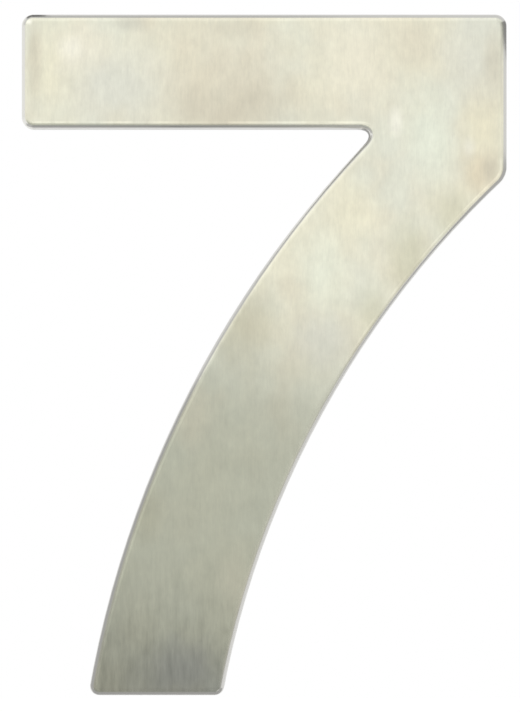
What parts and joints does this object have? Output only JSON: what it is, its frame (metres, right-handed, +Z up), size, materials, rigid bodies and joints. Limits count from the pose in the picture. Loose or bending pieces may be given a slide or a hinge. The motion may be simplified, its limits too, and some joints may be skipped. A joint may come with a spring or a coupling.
{
  "type": "house number",
  "caption": "Cast metal house number, a digit with softened edges and a flat back, held against the wall from behind by threaded studs.",
  "frame": {"origin": "middle of the digit's outline, on the flat back face that lies against the wall", "axes": "+Z up as the digit is read, +X to the reader's right, +Y out of the back into the wall"},
  "size_m": [0.0724, 0.0407, 0.1016],
  "materials": {
    "satin_nickel": "cast brass with a satin nickel plate, finely brushed upwards",
    "stud_steel": "zinc plated steel thread"
  },
  "bodies": {
    "root": {"digit": "satin_nickel", "upper_stud": "stud_steel", "lower_stud": "stud_steel"}
  },
  "joints": []
}
